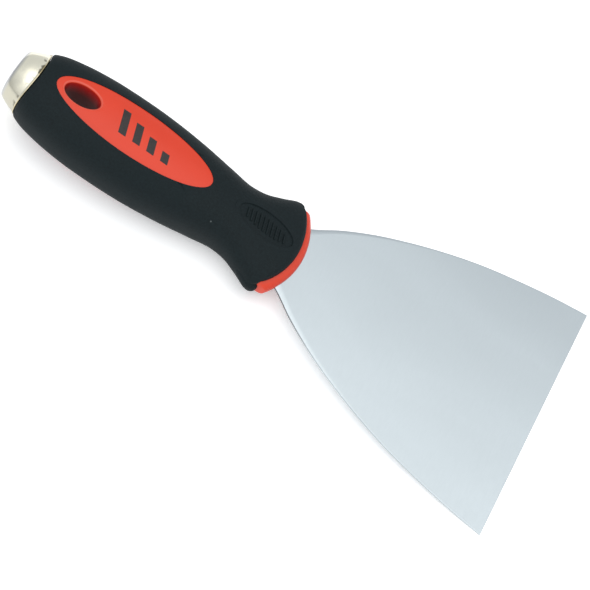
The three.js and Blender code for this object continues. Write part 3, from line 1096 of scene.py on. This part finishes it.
class PUTTY_OT_rivets(bpy.types.Operator):
    """Gives the two hidden rivets their steel finish"""

    bl_idname = "putty.rivets"
    bl_label = "Cap rivets"

    def execute(self, context):
        steel = rivet_steel()
        for node in ("cap_rivet_left", "cap_rivet_right"):
            piece = frame["nodes"][node]
            piece.data.materials.clear()
            piece.data.materials.append(steel)
        return {"FINISHED"}


# ---------------------------------------------------------------- stage
class PUTTY_OT_stage(bpy.types.Operator):
    """Sets the floor, the soft studio light and the camera"""

    bl_idname = "putty.stage"
    bl_label = "Stage"
    camera_place = (70.6, -335.15, 558.6)
    camera_aim = (125.75, -11.9, 0)
    camera_roll = 32.88
    camera_lens = 112.13

    def execute(self, context):
        self.floor(context)
        self.camera(context)
        self.light(context, "overhead", (0.0, -0.15, 1.0), (0, -0.15, 0), 1.5, 7.5, (1, 0.99, 0.97))
        self.light(context, "front_fill", (-0.5, -0.9, 0.6), (0, 0, 0), 1.0, 1.2, (1, 1, 1))
        self.light(context, "side_fill", (0.9, 0.3, 0.6), (0.05, 0, 0), 0.9, 1.0, (1, 1, 1))
        world = bpy.data.worlds.new("studio")
        world.use_nodes = True
        world.node_tree.nodes["Background"].inputs["Color"].default_value = (0.93, 0.96, 1, 1)
        world.node_tree.nodes["Background"].inputs["Strength"].default_value = 0.7
        context.scene.world = world
        context.scene.view_settings.view_transform = "Standard"
        return {"FINISHED"}

    def floor(self, context):
        data = bpy.data.meshes.new("studio_floor")
        half = 3.0
        corners = [(-half, -half, 0), (half, -half, 0), (half, half, 0), (-half, half, 0)]
        data.from_pydata(corners, [], [(0, 1, 2, 3)])
        floor = bpy.data.objects.new("studio_floor", data)
        context.scene.collection.objects.link(floor)
        material, tree, shader = start_material(
            "studio_paper", Roughness=0.9, Specular_IOR_Level=0.1, Emission_Strength=0.28,
        )
        paper = effect(tree, "grain", {"Vector": object_coordinates(tree), "Scale": 60.0, "Detail": 3.0})
        colour = tuple(context.scene.knife_colours.floor)
        tone = mix_colour(tree, paper.outputs["Mask"], scaled(colour, 0.995), colour)
        tree.links.new(tone, shader.inputs["Base Color"])
        data.materials.append(material)

    def camera(self, context):
        camera = bpy.data.cameras.new("camera")
        camera.lens = self.camera_lens
        camera.sensor_width = 36
        camera.clip_start = 0.01
        camera.clip_end = 20
        viewer = bpy.data.objects.new("camera", camera)
        context.scene.collection.objects.link(viewer)
        place, aim = (PLACE @ (Vector(point) * MM) for point in (self.camera_place, self.camera_aim))
        level = (aim - place).to_track_quat("-Z", "Y").to_matrix()
        viewer.matrix_world = (level @ Matrix.Rotation(math.radians(self.camera_roll), 3, "Z")).to_4x4()
        viewer.location = place
        context.scene.camera = viewer

    def light(self, context, name, place, aim, size, power, colour):
        lamp = bpy.data.lights.new(name, "AREA")
        lamp.shape = "SQUARE"
        lamp.size = size
        lamp.energy = power
        lamp.color = colour
        holder = bpy.data.objects.new(name, lamp)
        context.scene.collection.objects.link(holder)
        holder.location = place
        holder.rotation_euler = (Vector(aim) - Vector(place)).to_track_quat("-Z", "Y").to_euler()


# ---------------------------------------------------------------- add-on
PIECES = (
    PUTTY_OT_stage, PUTTY_OT_blade, PUTTY_OT_core, PUTTY_OT_grip, PUTTY_OT_print, PUTTY_OT_cap,
    PUTTY_OT_rivets,
)


class PUTTY_PT_panel(bpy.types.Panel):
    """Lists the pieces of the putty knife"""

    bl_idname = "PUTTY_PT_panel"
    bl_label = "Putty Knife"
    bl_space_type = "VIEW_3D"
    bl_region_type = "UI"
    bl_category = "Putty Knife"

    def draw(self, context):
        for settings in (context.scene.knife_sizes, context.scene.knife_colours):
            for name in settings.bl_rna.properties.keys():
                if name not in ("rna_type", "name"):
                    self.layout.prop(settings, name)
        for piece in PIECES:
            self.layout.operator(piece.bl_idname)


CLASSES = (KnifeSizes, KnifeColours, *PIECES, PUTTY_PT_panel)


def register():
    for cls in CLASSES:
        bpy.utils.register_class(cls)
    bpy.types.Scene.knife_sizes = bpy.props.PointerProperty(type=KnifeSizes)
    bpy.types.Scene.knife_colours = bpy.props.PointerProperty(type=KnifeColours)


def unregister():
    del bpy.types.Scene.knife_colours
    del bpy.types.Scene.knife_sizes
    for cls in reversed(CLASSES):
        bpy.utils.unregister_class(cls)


def main():
    register()
    for piece in PIECES:
        family, name = piece.bl_idname.split(".")
        getattr(getattr(bpy.ops, family), name)()


if __name__ == "__main__":
    main()
